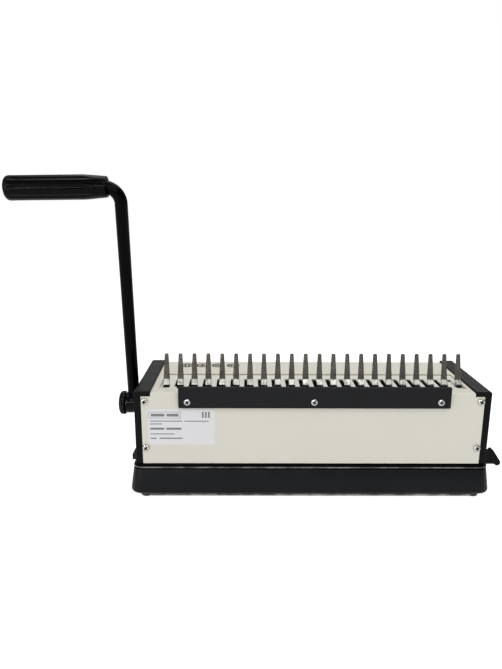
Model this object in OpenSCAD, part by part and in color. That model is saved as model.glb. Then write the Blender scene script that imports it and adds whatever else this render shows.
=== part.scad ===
// Manual comb binding machine: lever-driven punch with a comb opener on top.
// The machine stands on z = 0. X runs along the row of tines, Y from the tines' side
// towards the paper table, and the origin lies midway along the overall length and depth.

/* [Cabinet] */
// Width over the two side panels
cabinet_w = 352.4; // [340:0.1:420]
// Depth of the cabinet
cabinet_d = 112; // [108:1:130]
// Height of the side panels' top above the ground
cabinet_top = 113.5; // [112:0.1:140]
// Thickness of the folded sheet cover
cover_t = 1.2; // [0.8:0.1:2]
// Width of the rim that frames each side panel
panel_rim = 6.7; // [5:0.1:9]
// Width of the flange along the top of each side panel
panel_flange = 16.1; // [12:0.1:20]
// Height of that flange
panel_flange_h = 5.4; // [4:0.1:8]
// Thickness of a side panel's outer wall
panel_wall = 3; // [2:0.1:5]
// How far the side panels stand above the cover's top
panel_proud = 1.8; // [0.5:0.1:4]

/* [Base] */
// Height of the paper table above the ground
deck_z = 36.6; // [34:0.1:45]
// Depth of the paper table in front of the cabinet
table_d = 125; // [90:1:180]
// How far the base widens from its top edge to its foot, at each end
base_draft = 5; // [0:0.1:8]
// How far it deepens from its top edge to its foot, at the front and at the rear
base_draft_y = 3.5; // [0:0.1:6]
// Radius of the base's upright corners
base_corner_r = 9; // [5:1:20]
// Wall thickness of the base moulding
base_wall = 3; // [2:0.1:5]
// Height of a rubber foot
foot_h = 4.5; // [3:0.1:8]
// Diameter of a rubber foot
foot_d = 13; // [10:0.5:20]

/* [Punch] */
// Number of holes that the machine punches
hole_count = 21; // [5:1:21]
// Distance between neighbouring holes, and between neighbouring tines
pitch = 14.2875; // [12:0.0001:14.2875]
// Length of a punched hole along the paper's edge
hole_l = 8; // [4:0.1:8]
// Width of a punched hole
hole_w = 3; // [2:0.1:4]
// Clearance around each punch pin
pin_gap = 0.05; // [0.02:0.01:0.1]
// Height of the throat that takes the paper
throat_h = 5.2; // [4.5:0.1:7]
// Distance that the pins travel
stroke = 9.5; // [8.5:0.1:9.5]
// Distance from the holes' near edge to the paper stop
margin = 3.4; // [2:0.1:5]

/* [Lever] */
// Height of the lever's shaft above the ground
shaft_z = 81.4; // [81:0.1:84]
// Place of the shaft in front of the cabinet's mid-depth
shaft_y = 0; // [-4:0.5:2]
// Diameter of the shaft
shaft_d = 16; // [12:0.5:18]
// Running clearance between the shaft and its bushes
run_gap = 0.05; // [0.02:0.01:0.1]
// Diameter of the lever's bar
bar_d = 12.1; // [10:0.1:12.2]
// Distance from the shaft to the grip's axis
lever_l = 229.3; // [180:0.1:280]
// Lean of the lever at rest, away from the paper table
lever_lean = 10.5; // [0:0.5:15]
// Lean of the lever towards the cabinet
lever_splay = 1.1; // [0:0.1:2]
// Radius of the bend below the grip, on the bar's axis
bend_r = 15; // [14:0.5:20]
// Angle of the bend below the grip
bend_angle = 92; // [90:0.5:95]
// Length of the grip
grip_l = 94; // [80:0.5:120]
// Diameter of the grip
grip_d = 23.1; // [20:0.1:30]
// Angle that the lever swings through
lever_swing = 90; // [90:1:90]

/* [Comb opener] */
// Distance that the hook plate travels
hook_travel = 22; // [18:0.5:22]
// Height of the tines' tips above the ground
tine_top = 142.3; // [135:0.1:160]
// Thickness of a tine
tine_t = 2; // [1.5:0.1:2.5]
// Width of a tine at its foot
tine_foot_w = 6.4; // [5:0.1:6.5]
// Width of a tine near its tip
tine_tip_w = 4; // [3:0.1:5]
// Lean of the tines towards the paper table
tine_lean = 9.8; // [0:0.1:15]
// Place of the row of tines across the cabinet
tine_shift = 2.4; // [-5:0.1:5]
// Length of the stop bar behind the tines
stop_bar_l = 267; // [200:1:290]
// Height of the stop bar
stop_bar_h = 21.5; // [18:0.5:24]

/* [Waste tray] */
// Width of the waste tray across the machine
tray_w = 70; // [60:1:72]

/* [Hidden] */
$fn = 64;

black = [0.05, 0.05, 0.055];
cream = [0.83, 0.82, 0.77];
steel = [0.62, 0.63, 0.65];
dark_steel = [0.3, 0.29, 0.28];
zinc = [0.75, 0.75, 0.76];
brass = [0.78, 0.65, 0.35];
rubber = [0.12, 0.12, 0.12];

tiny = 0.01;
seam = 0.5;
slide_gap = 0.3;

// Cabinet planes, measured from the cabinet's own centre
half_w = cabinet_w / 2;
rear_y = -cabinet_d / 2;
front_y = cabinet_d / 2;
cabinet_z = deck_z + seam;
cover_z = cabinet_top - panel_proud;
cover_half = half_w - panel_flange;
rim_half = half_w - panel_rim;
flange_z = cabinet_top - panel_flange_h;
frame_t = 3;
frame_x = cover_half - frame_t + 1;
frame_top = flange_z - 0.6;
foot_flange_w = 9;

// Base
base_half = half_w + 3.1;
base_rear = rear_y - 1;
base_front = front_y + table_d;
plate_t = 1.2;
plate_inset = 1.4;
screw_d = 3;
boss_d = 8;
boss_inset = 11;
boss_x = half_w - 36;

// Overall extents, which place the origin
lever_x = half_w + 10.9;
grip_mouth = 4;
seat_d = bar_d - 0.1;
pull_tip = half_w + 40;
grip_end = lever_x - lever_l * sin(lever_splay) + bend_r - grip_mouth + grip_l;
origin_x = (grip_end - pull_tip) / 2;
screw_head_h = 2.2;
bar_t = 4;
origin_y = (base_front + base_draft_y + rear_y - bar_t - screw_head_h) / 2;

// Punch stack
die_t = 5.4;
die_z = deck_z - die_t;
guide_t = 5.5;
guide_z = deck_z + throat_h;
guide_top = guide_z + guide_t;
bed_rear = shaft_y - 22;
bed_front = front_y - 8;
guide_rear = shaft_y - 15;
guide_front = shaft_y + 17;
stop_y = shaft_y - hole_w / 2 - margin;
cam_x = 110;
cam_w = 10;
pad_r = 4;
cam_r0 = 16;
beam_z = shaft_z - cam_r0;
beam_h = beam_z - stroke - guide_top - 0.6;
beam_d = 14;
rod_d = 6;
rod_x = frame_x - rod_d / 2 - 1.5;
beam_half = frame_x - 0.6;
spring_x = 150;
spring_y = shaft_y + 14;
spring_d = 7;
spring_wire = 1.2;
spring_turns = 30;
spring_step = 0.92 * spring_wire;
anchor_z = beam_z + spring_wire + (spring_turns - 1) * spring_step;
cam_gap = 0.15;

// Lever
hub_gap = 0.8;
hub_d = 22.2;
hub_l = 18.4;
hub_in = half_w + hub_gap;
hub_out = hub_in + hub_l;
knob_d = 25.2;
knob_l = 7.4;
stud_d = 8;
spigot_d = 20;
shaft_left = hub_in + 2.4;
shaft_right = frame_x + frame_t + 5;

// Comb opener
tine_count = hole_count + 1;
tine_y = -29;
joggle_z = cover_z + 0.2;
joggle_h = 3.8;
joggle_y = 3;
strip_t = 2;
strip_z = frame_top - 4.6;
plate_top = cover_z - cover_t - slide_gap;
hook_t = 1.5;
hook_z = plate_top - hook_t;
hook_rear = rear_y + cover_t + 1.8;
hook_front = 20;
hook_half = frame_x - slide_gap;
window_rear = rear_y + 15;
window_front = 8;
window_half = cover_half - 5.4;
window_shift = 1.4;
arm_r = hook_travel / (2 * sin(lever_swing / 2));
arm_x = 124;
arm_w = 6;
pin_d = 6;
fork_x = arm_x + arm_w / 2 + 1.5;
fork_w = 5;
fork_rest_y = shaft_y - arm_r * sin(lever_swing / 2);
fork_slack = 0.8;
fork_wall = 3;
bar_z = 97.2;
bar_shift = 1.4;

// Waste tray
tray_y = 5;
tray_z = foot_h + plate_t + 0.2;
tray_h = 22.6;
tray_wall = 1.8;
tray_half = half_w - 4;
pull_w = 8;
pull_y = tray_y - 6;

// Edge guide
guide_x = tine_shift + (hole_count * pitch) / 2 - 1.5;
guide_w = 9;
guide_l = 80;
guide_h = 10;
guide_mid_y = front_y + 48;

// Moves a sub-part from the cabinet's own axes to the machine's
module in_place() {
    translate([origin_x, -origin_y, 0]) children();
}

// A box given by its low and high corners
module block(low, high) {
    translate(low) cube(high - low);
}

// A cylinder along +X from a given point
module rod_x_axis(p, d, l) {
    translate(p) rotate([0, 90, 0]) cylinder(d = d, h = l);
}

// Copies its children at both ends of the machine
module both_ends() {
    children();
    mirror([1, 0, 0]) children();
}

// Cross-head screw along +Z from the underside of its head, with its shank below
module pan_screw(head_d, head_h, shank_d, shank_l) {
    difference() {
        intersection() {
            cylinder(d = head_d, h = head_h);
            translate([0, 0, head_h - head_d * 0.9]) sphere(d = head_d * 1.8);
        }
        for (a = [0, 90]) {
            rotate([0, 0, a])
                block([-head_d * 0.3, -0.45, head_h * 0.35], [head_d * 0.3, 0.45, head_h + 1]);
        }
    }
    translate([0, 0, -shank_l]) cylinder(d = shank_d, h = shank_l);
}

// Outline of the base at one height, as a thin layer
module base_layer(z, grow_x, grow_y) {
    r = base_corner_r + grow_y;
    translate([0, 0, z])
        linear_extrude(height = tiny)
            hull()
                for (sx = [-1, 1])
                    for (y = [base_rear - grow_y + r, base_front + grow_y - r])
                        translate([sx * (base_half + grow_x - r), y]) circle(r = r, $fn = 32);
}

// Solid with the base's outer shape, shrunk by a wall
module base_form(wall, low, high) {
    hull() {
        base_layer(low, base_draft - wall, base_draft_y - wall);
        base_layer(high - tiny, -wall, -wall);
    }
}

function boss_places() = [for (x = [-boss_x, 0, boss_x])
    for (y = [base_rear + boss_inset - 2, base_front - boss_inset]) [x, y]];

module base_shell() color(black) in_place()
difference() {
    union() {
        difference() {
            base_form(0, foot_h, deck_z);
            base_form(base_wall, foot_h - 1, deck_z - base_wall);
        }
        for (p = boss_places()) {
            translate([p.x, p.y, foot_h + plate_t]) cylinder(d = boss_d, h = deck_z - base_wall - foot_h - plate_t);
        }
    }
    // opening for the punch bed and the frames
    block([-frame_x - frame_t - 0.4, rear_y + 8, deck_z - base_wall - 1],
          [frame_x + frame_t + 0.4, bed_front, deck_z + 1]);
    // opening for the waste tray, and for the tab at its other end
    block([half_w - 8, tray_y - tray_w / 2 - 0.5, foot_h + plate_t],
          [half_w + 10, tray_y + tray_w / 2 + 0.5, tray_z + tray_h + 0.7]);
    block([-half_w - 10, tray_y - 7, 13.8], [-half_w + 8, tray_y + 7, 27.5]);
    // slot for the edge guide's clamping screw
    block([guide_x - 6, guide_mid_y - 2.6, deck_z - 10], [guide_x + 15, guide_mid_y + 2.6, deck_z + 1]);
    // holes for the base screws and the frame screws
    for (p = boss_places()) {
        translate([p.x, p.y, foot_h]) cylinder(d = screw_d, h = 14);
    }
    for (x = [-1, 1]) {
        for (y = [rear_y + 18, front_y - 18]) {
            translate([x * (frame_x + frame_t + 5), y, deck_z - 10]) cylinder(d = screw_d, h = 11);
        }
    }
}

module bottom_plate() color(steel) in_place()
difference() {
    r = base_corner_r;
    x = base_half - plate_inset;
    low_y = base_rear + plate_inset;
    high_y = base_front - plate_inset;
    union() {
        block([-x + r, low_y, foot_h], [x - r, high_y, foot_h + plate_t]);
        block([-x, low_y + r, foot_h], [x, high_y - r, foot_h + plate_t]);
        for (px = [-x + r, x - r]) {
            for (py = [low_y + r, high_y - r]) {
                translate([px, py, foot_h]) cylinder(r = r, h = plate_t);
            }
        }
    }
    for (p = boss_places()) {
        translate([p.x, p.y, foot_h - 1]) cylinder(d = screw_d, h = plate_t + 2);
    }
}

module rubber_feet() color(rubber) in_place()
for (x = [-1, 1]) {
    for (y = [rear_y + 6.5, base_front - 14]) {
        translate([x * (half_w - 9.2 + 0.5), y, 0]) {
            cylinder(d = foot_d, h = foot_h);
        }
    }
}

module base_screws() color(zinc) in_place()
for (p = boss_places()) {
    translate([p.x, p.y, foot_h]) rotate([180, 0, 0]) pan_screw(6, 1.8, screw_d, 13);
}

module tray_guides() color(black) in_place()
for (y = [tray_y - tray_w / 2 - 2.6, tray_y + tray_w / 2 + 0.6]) {
    block([-half_w + 12, y, foot_h + plate_t], [half_w - 12, y + 2, foot_h + plate_t + 7]);
}

// One side frame: an upright plate with a foot and a spring anchor
module side_frame() {
    difference() {
        union() {
            block([frame_x, rear_y + 10, die_z], [frame_x + frame_t, bed_front - 2, frame_top]);
            block([frame_x, rear_y + 10, deck_z], [frame_x + foot_flange_w + 1, bed_front - 2, deck_z + 2]);
            block([spring_x - 5, spring_y - 5, anchor_z], [frame_x + frame_t, spring_y + 5, anchor_z + 2]);
        }
        // bearing seat
        rod_x_axis([frame_x - 1, shaft_y, shaft_z], shaft_d + 6, frame_t + 2);
        // holes for the tie rods and the frame screws
        for (p = tie_places()) {
            rod_x_axis([frame_x - 1, p[0], p[1]], 5, frame_t + 2);
        }
        for (y = [rear_y + 18, front_y - 18]) {
            translate([frame_x + frame_t + 5, y, deck_z - 1]) cylinder(d = screw_d, h = 4);
        }
    }
}

function tie_places() = [[rear_y + 16, 60], [front_y - 16, 60], [front_y - 16, 96]];

module left_frame() color(steel) in_place() mirror([1, 0, 0]) side_frame();

module right_frame() color(steel) in_place() side_frame();

module frame_screws() color(zinc) in_place()
both_ends()
    for (y = [rear_y + 18, front_y - 18]) {
        translate([frame_x + frame_t + 5, y, deck_z + 2]) pan_screw(6, 2, screw_d, 7);
    }

// The row of punched holes, as a cutter
module hole_row(gap, low, high) {
    for (i = [0 : hole_count - 1]) {
        x = tine_shift + (i - (hole_count - 1) / 2) * pitch;
        block([x - hole_l / 2 - gap, shaft_y - hole_w / 2 - gap, low],
              [x + hole_l / 2 + gap, shaft_y + hole_w / 2 + gap, high]);
    }
}

module die_plate() color(steel) in_place()
difference() {
    block([-frame_x, bed_rear, die_z], [frame_x, bed_front - 0.5, deck_z]);
    hole_row(pin_gap, die_z - 1, deck_z + 1);
}

module paper_stop() color(steel) in_place()
block([-frame_x, guide_rear, deck_z], [frame_x, stop_y, guide_z]);

module guide_plate() color(steel) in_place()
difference() {
    block([-frame_x, guide_rear, guide_z], [frame_x, guide_front, guide_top]);
    hole_row(pin_gap, guide_z - 1, guide_top + 1);
}

module guide_rods() color(zinc) in_place()
both_ends() translate([rod_x, shaft_y, guide_top]) cylinder(d = rod_d, h = beam_z - guide_top + 2);

module tie_rods() color(zinc) in_place()
for (p = tie_places()) {
    rod_x_axis([-frame_x - frame_t, p[0], p[1]], 5, 2 * (frame_x + frame_t));
    for (x = [-frame_x - frame_t - 3, frame_x + frame_t]) {
        translate([x, p[0], p[1]]) rotate([0, 90, 0]) cylinder(d = 9, h = 3, $fn = 6);
    }
}

module shaft_bushes() color(brass) in_place()
both_ends()
    difference() {
        union() {
            rod_x_axis([frame_x, shaft_y, shaft_z], shaft_d + 6, frame_t);
            rod_x_axis([frame_x - 2, shaft_y, shaft_z], shaft_d + 10, 2);
        }
        rod_x_axis([frame_x - 3, shaft_y, shaft_z], shaft_d + 2 * run_gap, frame_t + 4);
    }

module cover() color(cream) in_place()
difference() {
    union() {
        block([-rim_half + 0.1, rear_y, cabinet_z], [rim_half - 0.1, front_y, flange_z - 0.1]);
        block([-cover_half + 0.1, rear_y, cabinet_z], [cover_half - 0.1, front_y, cover_z]);
    }
    block([-half_w, rear_y + cover_t, cabinet_z - 1], [half_w, front_y - cover_t, cover_z - cover_t]);
    // window over the hook plate
    block([-window_half + window_shift, window_rear, cover_z - cover_t - 1],
          [window_half + window_shift, window_front, cover_z + 1]);
    // mouth of the paper throat
    block([-cover_half + 4, front_y - cover_t - 1, cabinet_z - 1], [cover_half - 4, front_y + 1, guide_z + 1.7]);
    for (p = cover_screw_places()) {
        translate([p[0], rear_y - 1, p[1]]) rotate([-90, 0, 0]) cylinder(d = screw_d, h = cabinet_d + 2);
    }
    for (x = stop_screw_places()) {
        translate([x, rear_y - 1, stop_screw_z]) rotate([-90, 0, 0]) cylinder(d = screw_d, h = cover_t + 2);
    }
}

function cover_screw_places() = [for (x = [-1, 1]) for (z = [cabinet_top - 10.6, cabinet_top - 59.5])
    [x * (half_w - 10.3), z]];
function stop_screw_places() = [for (i = [-1, 0, 1]) bar_shift - 0.6 + i * (stop_bar_l / 2 - 9.4)];
stop_screw_z = bar_z + 6.7;

// One side panel: outer wall, rims at both faces, top flange and screw tabs
module side_panel() {
    difference() {
        union() {
            translate([0, front_y, 0]) rotate([90, 0, 0])
                linear_extrude(height = cabinet_d)
                    panel_profile();
            for (y = [rear_y + cover_t + 0.1, front_y - cover_t - 2.6]) {
                block([half_w - 15, y, 45], [half_w - panel_wall, y + 2.5, flange_z]);
            }
        }
        block([half_w - panel_rim - 1, rear_y + 4, cabinet_z - 1],
              [half_w - panel_wall, front_y - 4, flange_z]);
        for (p = cover_screw_places()) {
            if (p[0] > 0) {
                translate([p[0], rear_y - 1, p[1]]) rotate([-90, 0, 0]) cylinder(d = screw_d, h = cabinet_d + 2);
            }
        }
    }
}

module panel_profile() {
    edge_r = 2.5;
    translate([half_w - panel_rim, cabinet_z]) square([panel_rim, cabinet_top - cabinet_z - edge_r]);
    translate([half_w - panel_flange, flange_z]) square([panel_flange - edge_r, panel_flange_h]);
    translate([half_w - edge_r, cabinet_top - edge_r]) circle(r = edge_r);
}

module left_panel() color(black) in_place()
difference() {
    mirror([1, 0, 0]) side_panel();
    // clearance hole for the lever's hub
    rod_x_axis([-half_w - 1, shaft_y, shaft_z], spigot_d + 1, panel_rim + 2);
}

module right_panel() color(black) in_place() side_panel();

module cover_screws() color(zinc) in_place()
for (p = cover_screw_places()) {
    translate([p[0], rear_y, p[1]]) rotate([90, 0, 0]) pan_screw(7, screw_head_h, screw_d, 6);
    translate([p[0], front_y, p[1]]) rotate([-90, 0, 0]) pan_screw(7, screw_head_h, screw_d, 6);
}

module stop_bar() color(black) in_place()
difference() {
    translate([bar_shift, rear_y, bar_z]) rotate([90, 0, 0])
        linear_extrude(height = bar_t) {
            translate([-stop_bar_l / 2, 3]) square([stop_bar_l, stop_bar_h - 3]);
            translate([-stop_bar_l / 2 + 3, 0]) square([stop_bar_l - 6, 4]);
            for (x = [-1, 1]) {
                translate([x * (stop_bar_l / 2 - 3), 3]) circle(r = 3);
            }
        }
    for (x = stop_screw_places()) {
        translate([x, rear_y - bar_t - 1, stop_screw_z]) rotate([-90, 0, 0]) cylinder(d = screw_d, h = bar_t + 2);
    }
}

module stop_bar_screws() color(zinc) in_place()
for (x = stop_screw_places()) {
    translate([x, rear_y - bar_t, stop_screw_z]) rotate([90, 0, 0]) pan_screw(6.8, screw_head_h, screw_d, bar_t + 5);
}

module label_plate() color([0.86, 0.86, 0.88]) in_place()
block([-half_w + 13.2, rear_y - 0.2, 57.5], [-half_w + 79.4, rear_y, 95]);

module icon_badges() color([0.2, 0.2, 0.2]) in_place()
for (i = [0 : 3]) {
    translate([-half_w + 43 + i * 17.4, front_y - 16.5, cover_z]) cylinder(d = 14.5, h = 0.2);
}

function tine_x(i) = tine_shift + (i - (tine_count - 1) / 2) * pitch;

module tine_strip() color(steel) in_place()
difference() {
    block([-frame_x, tine_y - 16, strip_z], [frame_x, tine_y + tine_t, strip_z + strip_t]);
    for (i = [0 : tine_count - 1]) {
        block([tine_x(i) - tine_foot_w / 2, tine_y, strip_z - 1],
              [tine_x(i) + tine_foot_w / 2, tine_y + tine_t + 1, strip_z + strip_t + 1]);
    }
}

// One tine: riveted foot, joggle and leaning blade
module tine() {
    blade_z = joggle_z + joggle_h;
    blade_l = (tine_top - blade_z) / cos(tine_lean);
    tip_r = tine_tip_w / 2;
    block([-tine_foot_w / 2, 0, strip_z], [tine_foot_w / 2, tine_t, joggle_z]);
    translate([-tine_foot_w / 2, 0, 0]) rotate([90, 0, 90])
        linear_extrude(height = tine_foot_w)
            polygon([[0, joggle_z], [tine_t, joggle_z], [tine_t + joggle_y, blade_z], [joggle_y, blade_z]]);
    translate([0, joggle_y, blade_z]) rotate([-tine_lean, 0, 0])
        difference() {
            translate([0, tine_t, 0]) rotate([90, 0, 0])
                linear_extrude(height = tine_t) {
                    polygon([[-tine_foot_w / 2, 0], [tine_foot_w / 2, 0],
                             [tip_r, blade_l - tip_r], [-tip_r, blade_l - tip_r]]);
                    translate([0, blade_l - tip_r]) circle(r = tip_r);
                }
            block([-tine_foot_w, -1, -3], [tine_foot_w, tine_t + 1, 0]);
        }
}

module tines() color(dark_steel) in_place()
for (i = [0 : tine_count - 1]) {
    translate([tine_x(i), tine_y, 0]) tine();
}

module hook_rails() color(zinc) in_place()
both_ends() block([frame_x - 1.9, rear_y + 8, hook_z - 1.8], [frame_x, front_y - 8, hook_z - 0.1]);

module punch_beam() color(dark_steel) in_place()
difference() {
    union() {
        block([-beam_half, shaft_y - beam_d / 2, beam_z - beam_h], [beam_half, shaft_y + beam_d / 2, beam_z]);
        both_ends()
            block([spring_x - 4, shaft_y + beam_d / 2 - 1, beam_z - 4], [spring_x + 4, spring_y + 4, beam_z]);
    }
    both_ends()
        translate([rod_x, shaft_y, beam_z - beam_h - 1]) cylinder(d = rod_d + 2 * run_gap, h = beam_h + 2);
}

module punch_pins() color(zinc) in_place()
hole_row(0, guide_z + 1.2, beam_z - beam_h);

module cam_pads() color(zinc) in_place()
both_ends()
    intersection() {
        rod_x_axis([cam_x - cam_w / 2, shaft_y, beam_z], 2 * pad_r, cam_w);
        block([cam_x - cam_w, shaft_y - 10, beam_z], [cam_x + cam_w, shaft_y + 10, beam_z + 10]);
    }

// Extension springs, closed up at rest: each coil is drawn as a ring that meets its neighbours
module return_springs() color(zinc) in_place()
both_ends()
    translate([spring_x, spring_y, 0])
        rotate_extrude()
            for (i = [0 : spring_turns - 1]) {
                translate([(spring_d - spring_wire) / 2, beam_z + spring_wire / 2 + i * spring_step])
                    circle(d = spring_wire, $fn = 16);
            }

module main_shaft() color(zinc) in_place()
rod_x_axis([-shaft_left, shaft_y, shaft_z], shaft_d, shaft_left + shaft_right);

// Distance from the shaft's axis to the pad's centre, after turning by a degrees
function pad_path(a) = cam_r0 + stroke * a / lever_swing;
// Cam outline, which keeps a pad's radius and the gap inside the path of the pad's centre
function cam_point(a) =
    let (r = pad_path(a), slope = stroke / lever_swing * 180 / PI, reach = (pad_r + cam_gap) / norm([r, slope]))
        [r - reach * r, reach * slope];
// The same point in the plane of the cam, where the angle runs from straight down
function cam_xy(a) =
    let (p = cam_point(a)) [p[0] * sin(a) + p[1] * cos(a), -p[0] * cos(a) + p[1] * sin(a)];
// Return side of the cam: a plain arc at the base radius
function cam_back(a) = (cam_r0 - pad_r - 1) * [sin(a), -cos(a)];

module cam_outline() {
    polygon(concat([for (a = [-8 : 2 : lever_swing + 8]) cam_xy(a)],
                   [for (a = [lever_swing + 40 : 10 : 330]) cam_back(a)]));
}

module lift_cams() color(dark_steel) in_place()
for (x = [-cam_x - cam_w / 2, cam_x - cam_w / 2]) {
    translate([x, shaft_y, shaft_z]) rotate([90, 0, 90])
        linear_extrude(height = cam_w)
            difference() {
                cam_outline();
                circle(d = shaft_d);
            }
}

// Arm that carries the driving pin of one hook fork
module drive_arm() {
    pin_y = shaft_y - arm_r * sin(lever_swing / 2);
    pin_z = shaft_z + arm_r * cos(lever_swing / 2);
    difference() {
        union() {
            rod_x_axis([arm_x - arm_w / 2, shaft_y, shaft_z], shaft_d + 8, arm_w);
            rod_x_axis([arm_x - arm_w / 2, pin_y, pin_z], pin_d + 5, arm_w);
        }
        rod_x_axis([arm_x - arm_w / 2 - 1, shaft_y, shaft_z], shaft_d, arm_w + 2);
    }
    rod_x_axis([arm_x + arm_w / 2, pin_y, pin_z], pin_d, fork_w + 2);
}

module drive_arms() color(dark_steel) in_place() both_ends() drive_arm();

module shaft_rings() color(dark_steel) in_place()
both_ends()
    difference() {
        rod_x_axis([frame_x + frame_t + 0.3, shaft_y, shaft_z], shaft_d + 6, 1.5);
        rod_x_axis([frame_x + frame_t, shaft_y, shaft_z], shaft_d, 3);
    }

// Frame of the lever: its own +Z runs up the bar from the shaft's axis
module in_lever() {
    translate([-lever_x, shaft_y, shaft_z]) rotate([lever_lean, 0, 0]) rotate([0, lever_splay, 0]) children();
}

// Frame of the grip, inside the lever's: its own +Z runs outwards from the end of the bend
module in_grip() {
    translate([-bend_r, 0, lever_l - bend_r]) rotate([0, -bend_angle, 0]) translate([bend_r, 0, 0]) children();
}

module lever_hub() color(black) in_place()
difference() {
    union() {
        rod_x_axis([-hub_out, shaft_y, shaft_z], hub_d, hub_l);
        rod_x_axis([-hub_in, shaft_y, shaft_z], spigot_d, 7);
    }
    rod_x_axis([-shaft_left, shaft_y, shaft_z], shaft_d, 20);
    in_lever() translate([0, 0, -bar_d / 2]) cylinder(d = bar_d, h = hub_d);
    rod_x_axis([-hub_out - 1, shaft_y, shaft_z], stud_d + 2 * run_gap, 3.4);
}

module lever_bar() color(black) in_place() in_lever() {
    straight = lever_l - bend_r;
    translate([0, 0, -bar_d / 2]) cylinder(d = bar_d, h = straight + bar_d / 2);
    translate([-bend_r, 0, straight]) rotate([90, 0, 0])
        rotate_extrude(angle = bend_angle) translate([bend_r, 0]) circle(d = bar_d);
    in_grip() translate([0, 0, -0.5]) cylinder(d = seat_d, h = grip_l - 13.5 - grip_mouth);
}

module lever_grip() color(black) in_place() in_lever() {
    neck_d = 19.4;
    taper = 21;
    in_grip() translate([0, 0, -grip_mouth])
        rotate_extrude()
            difference() {
                union() {
                    polygon([[0, 0], [neck_d / 2, 0], [grip_d / 2, taper],
                             [grip_d / 2, grip_l - 5], [0, grip_l - 5]]);
                    translate([0, grip_l - 5]) square([grip_d / 2 - 5, 5]);
                    translate([grip_d / 2 - 5, grip_l - 5]) intersection() {
                        circle(r = 5);
                        square(5);
                    }
                }
                translate([-1, -1]) square([bar_d / 2 + 1.65, grip_mouth + 1]);
                translate([-1, 0]) square([seat_d / 2 + 1, grip_l - 14]);
            }
}

module hub_knob() color(black) in_place()
translate([-hub_out - 0.2, shaft_y, shaft_z]) rotate([0, -90, 0]) {
    difference() {
        rotate_extrude()
            polygon([[0, 0], [knob_d / 2 - 0.8, 0], [knob_d / 2, 0.8], [knob_d / 2, knob_l - 3],
                     [knob_d / 2 - 1.5, knob_l - 1.2], [knob_d / 2 - 4, knob_l - 0.3], [0, knob_l]]);
        for (a = [0 : 12 : 348]) {
            rotate([0, 0, a]) translate([knob_d / 2 + 0.3, 0, -1]) cylinder(d = 1.4, h = knob_l + 2, $fn = 16);
        }
    }
    translate([0, 0, -2.2]) cylinder(d = stud_d, h = 2.3);
}

module hook_plate() color(cream) in_place()
difference() {
    block([-hook_half, hook_rear, hook_z], [hook_half, hook_front, plate_top]);
    for (i = [0 : tine_count - 1]) {
        // clearance in front of each tine, and the slot beside it that catches a comb's ring
        block([tine_x(i) - 3.6, hook_rear - 1, hook_z - 1], [tine_x(i) + 3.6, tine_y + tine_t + 0.8, plate_top + 1]);
        block([tine_x(i) - 6, tine_y - 2, hook_z - 1], [tine_x(i) - 1.4, tine_y + 23, plate_top + 1]);
    }
}

module hook_forks() color(zinc) in_place()
both_ends()
    difference() {
        slot = pin_d / 2 + fork_slack;
        block([fork_x, fork_rest_y - slot - fork_wall, shaft_z + shaft_d / 2 + 1],
              [fork_x + fork_w, fork_rest_y + slot + fork_wall, hook_z]);
        block([fork_x - 1, fork_rest_y - slot, shaft_z],
              [fork_x + fork_w + 1, fork_rest_y + slot, shaft_z + arm_r + pin_d / 2 + 0.8]);
    }

module waste_tray() color(black) in_place() {
    difference() {
        block([-tray_half, tray_y - tray_w / 2, tray_z], [tray_half, tray_y + tray_w / 2, tray_z + tray_h]);
        block([-tray_half + tray_wall, tray_y - tray_w / 2 + tray_wall, tray_z + tray_wall],
              [tray_half - tray_wall, tray_y + tray_w / 2 - tray_wall, tray_z + tray_h + 1]);
    }
    block([tray_half - 0.5, tray_y - tray_w / 2, tray_z], [half_w + 1.5, tray_y + tray_w / 2, tray_z + tray_h]);
    // tab that pushes the tray out from its other end
    translate([0, tray_y + 6, 0]) rotate([90, 0, 0])
        linear_extrude(height = 12)
            polygon([[-tray_half + 1, 14.8], [-half_w - 15.7, 14.8], [-half_w - 15.7, 20.8],
                     [-half_w - 12.3, 26.3], [-tray_half + 1, 26.3]]);
}

module tray_pull() color(black) in_place()
translate([half_w + 1.5, pull_y + pull_w / 2, 0]) rotate([90, 0, 0])
    linear_extrude(height = pull_w) {
        polygon([[0, 11.7], [31.8, 11.7], [34.9, 13.2], [37.7, 15.6], [29.8, 27.2],
                 [27.9, 28.5], [26.2, 27.6], [25.1, 26.2], [0, 26.1]]);
        translate([34.9, 13.2]) circle(r = 3.6);
    }

module edge_guide() color(black) in_place()
difference() {
    union() {
        block([guide_x, guide_mid_y - guide_l / 2, deck_z + 0.1],
              [guide_x + guide_w, guide_mid_y + guide_l / 2, deck_z + guide_h]);
        block([guide_x - 2 + guide_w / 2, guide_mid_y - 2.3, deck_z - base_wall - 0.1],
              [guide_x + 2 + guide_w / 2, guide_mid_y + 2.3, deck_z + 1]);
        block([guide_x - 6 + guide_w / 2, guide_mid_y - 6, deck_z - base_wall - 2.2],
              [guide_x + 6 + guide_w / 2, guide_mid_y + 6, deck_z - base_wall - 0.1]);
    }
    translate([guide_x + guide_w / 2, guide_mid_y, deck_z + 3]) cylinder(d = 4 + 2 * run_gap, h = guide_h);
}

module guide_knob() color(black) in_place()
translate([guide_x + guide_w / 2, guide_mid_y, deck_z + guide_h + 0.2]) {
    translate([0, 0, -6.5]) cylinder(d = 4, h = 7);
    difference() {
        rotate_extrude()
            polygon([[0, 0], [7.2, 0], [8, 0.8], [8, 7], [6.5, 8.6], [0, 9.4]]);
        for (a = [0 : 30 : 330]) {
            rotate([0, 0, a]) translate([8.6, 0, -1]) cylinder(d = 2.4, h = 12, $fn = 16);
        }
    }
}

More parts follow.
